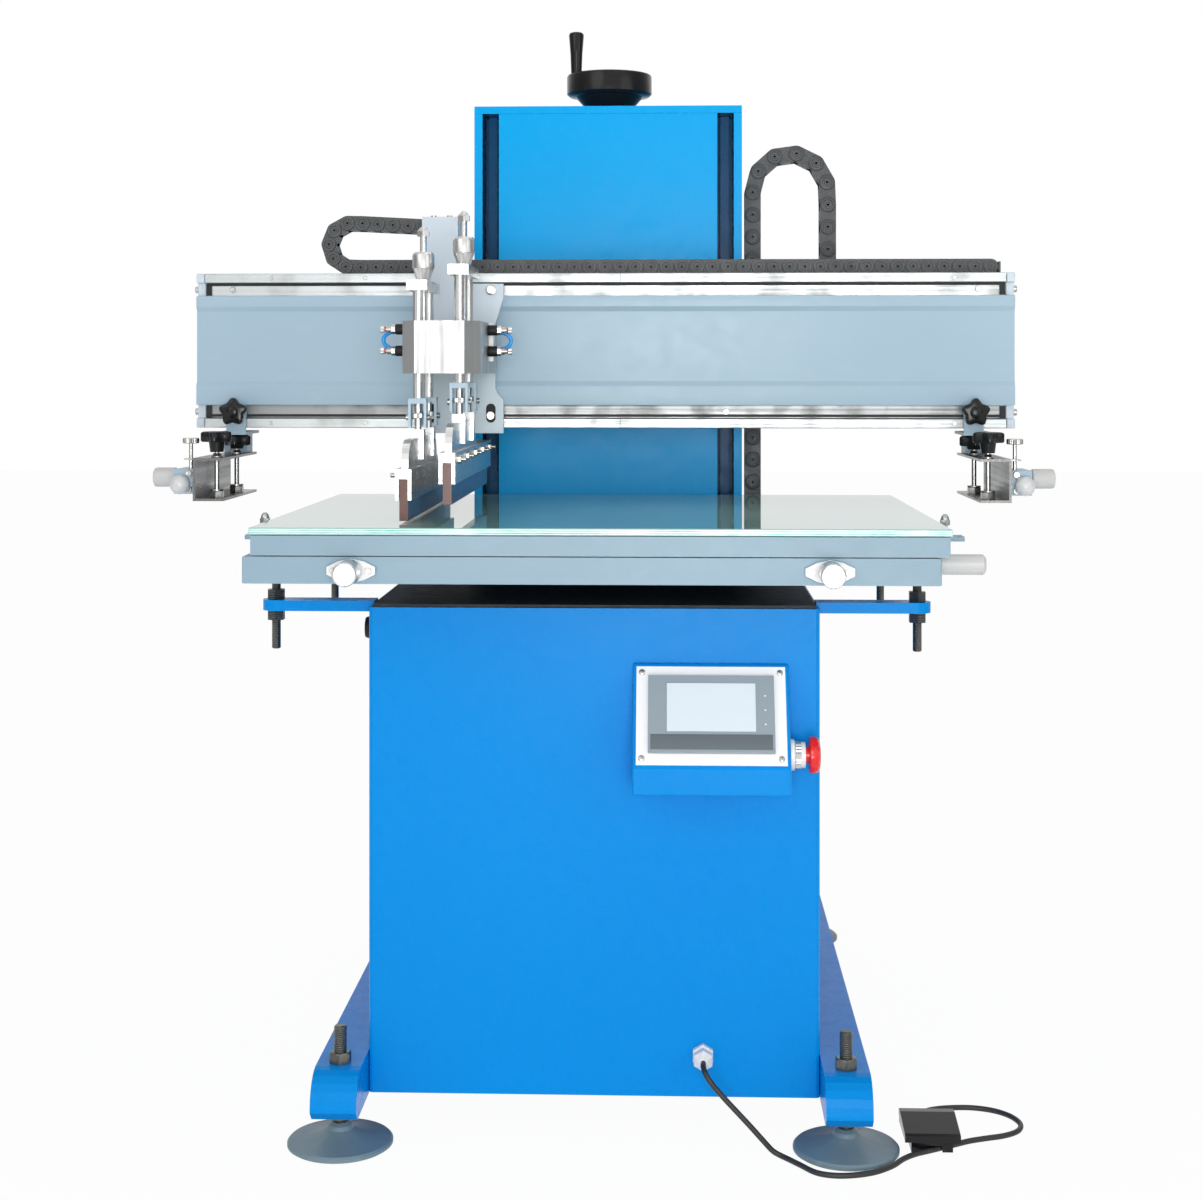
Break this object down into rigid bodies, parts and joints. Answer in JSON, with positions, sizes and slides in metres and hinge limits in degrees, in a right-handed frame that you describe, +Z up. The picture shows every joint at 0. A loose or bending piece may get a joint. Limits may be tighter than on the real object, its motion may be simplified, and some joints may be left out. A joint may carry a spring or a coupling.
{
  "type": "flatbed screen printing machine",
  "caption": "Flatbed screen printing machine: cabinet on levelling feet, glass print table, column-mounted head with squeegee carriage and frame clamps.",
  "frame": {"origin": "on the floor, at the middle of the machine's bounding box", "axes": "+Z up, operator on the -Y side, +X to the operator's right"},
  "size_m": [1.1, 0.961, 1.3168],
  "materials": {
    "cabinet_blue": "gloss powder coat",
    "column_blue": "gloss powder coat",
    "grey_blue_paint": "satin paint",
    "aluminium": "machined",
    "stainless": "brushed",
    "black_plastic": "gloss moulded",
    "chain_plastic": "moulded",
    "foot_pad": "moulded",
    "glass": "polished, broken edge",
    "blade_rubber": "cast polyurethane",
    "white_plastic": "moulded",
    "red_plastic": "moulded",
    "cord_rubber": "extruded"
  },
  "bodies": {
    "base": {"cabinet": "cabinet_blue", "cabinet_top_sheet": "black_plastic", "side_button": "black_plastic", "leg_left": "cabinet_blue", "leg_right": "cabinet_blue", "foot_front_left": "foot_pad", "foot_front_right": "foot_pad", "foot_rear_left": "foot_pad", "foot_rear_right": "foot_pad", "table_stud_front_left": "stainless", "table_stud_front_right": "stainless", "table_stud_rear_left": "stainless", "table_stud_rear_right": "stainless", "column": "column_blue", "column_cap": "column_blue", "table_base": "grey_blue_paint", "console": "cabinet_blue", "console_panel": "white_plastic", "display": "black_plastic", "stop_collar": "white_plastic", "gland": "white_plastic", "pedal_cord": "cord_rubber", "pedal_base": "black_plastic"},
    "handwheel": {"handwheel": "black_plastic"},
    "table_top": {"table_plate": "grey_blue_paint", "table_glass": "glass"},
    "knob_left": {"table_knob_left": "aluminium"},
    "knob_right": {"table_knob_right": "aluminium"},
    "knob_side": {"table_side_knob": "white_plastic"},
    "head": {"beam": "aluminium", "beam_cover": "grey_blue_paint", "beam_end_left": "grey_blue_paint", "beam_end_right": "grey_blue_paint", "saddle": "stainless", "beam_chain": "chain_plastic", "lift_chain": "chain_plastic"},
    "carriage": {"carriage_plate": "grey_blue_paint", "cylinder_block": "aluminium", "air_fittings_left": "black_plastic", "air_fittings_right": "black_plastic"},
    "squeegee": {"squeegee_lifter": "aluminium", "squeegee_holder": "aluminium", "squeegee_blade": "blade_rubber"},
    "flood_bar": {"flood_lifter": "aluminium", "flood_holder": "aluminium", "flood_blade": "blade_rubber"},
    "clamp_left": {"clamp_channel_left": "stainless", "clamp_screw_front_left": "black_plastic", "clamp_screw_rear_left": "black_plastic", "clamp_hanger_left": "grey_blue_paint", "clamp_lock_knob_left": "black_plastic", "clamp_adjuster_left": "grey_blue_paint"},
    "clamp_right": {"clamp_channel_right": "stainless", "clamp_screw_front_right": "black_plastic", "clamp_screw_rear_right": "black_plastic", "clamp_hanger_right": "grey_blue_paint", "clamp_lock_knob_right": "black_plastic", "clamp_adjuster_right": "grey_blue_paint"},
    "stop_button": {"stop_button": "red_plastic"},
    "pedal": {"pedal_pad": "black_plastic"}
  },
  "joints": [
    {"name": "head_lift", "type": "slide", "parent": "base", "child": "head", "axis": [0, 0, 1], "range_m": [0, 0.15]},
    {"name": "handwheel_turn", "type": "hinge", "parent": "base", "child": "handwheel", "pos_m": [0, 0.226, 1.21], "axis": [0, 0, 1], "range_deg": [-10, 5410]},
    {"name": "table_shift", "type": "slide", "parent": "base", "child": "table_top", "axis": [0, 1, 0], "range_m": [-0.005, 0.005]},
    {"name": "knob_left_turn", "type": "hinge", "parent": "base", "child": "knob_left", "pos_m": [-0.253, -0.4385, 0.6332], "axis": [0, -1, 0], "continuous": true},
    {"name": "knob_right_turn", "type": "hinge", "parent": "base", "child": "knob_right", "pos_m": [0.253, -0.4385, 0.6332], "axis": [0, -1, 0], "continuous": true},
    {"name": "knob_side_turn", "type": "hinge", "parent": "base", "child": "knob_side", "pos_m": [0.3705, -0.389, 0.6372], "axis": [1, 0, 0], "continuous": true},
    {"name": "carriage_travel", "type": "slide", "parent": "head", "child": "carriage", "axis": [1, 0, 0], "range_m": [-0.15, 0.5]},
    {"name": "squeegee_lift", "type": "slide", "parent": "carriage", "child": "squeegee", "axis": [0, 0, 1], "range_m": [-0.002, 0.024]},
    {"name": "flood_lift", "type": "slide", "parent": "carriage", "child": "flood_bar", "axis": [0, 0, 1], "range_m": [-0.0195, 0.006]},
    {"name": "clamp_left_slide", "type": "slide", "parent": "head", "child": "clamp_left", "axis": [1, 0, 0], "range_m": [-0.02, 0.12]},
    {"name": "clamp_right_slide", "type": "slide", "parent": "head", "child": "clamp_right", "axis": [1, 0, 0], "range_m": [-0.12, 0.02]},
    {"name": "stop_push", "type": "slide", "parent": "base", "child": "stop_button", "axis": [-1, 0, 0], "range_m": [0, 0.004], "stiffness_N_per_m": 600, "springref_m": -0.002},
    {"name": "pedal_press", "type": "hinge", "parent": "base", "child": "pedal", "pos_m": [0.368, -0.324, 0.023], "axis": [1, 0, 0], "range_deg": [0, 4], "stiffness_Nm_per_rad": 2, "springref_deg": -5.73}
  ],
  "couplings": [
    {"joint": "handwheel_turn", "follows": "head_lift", "rad_per_m": 628.32}
  ]
}
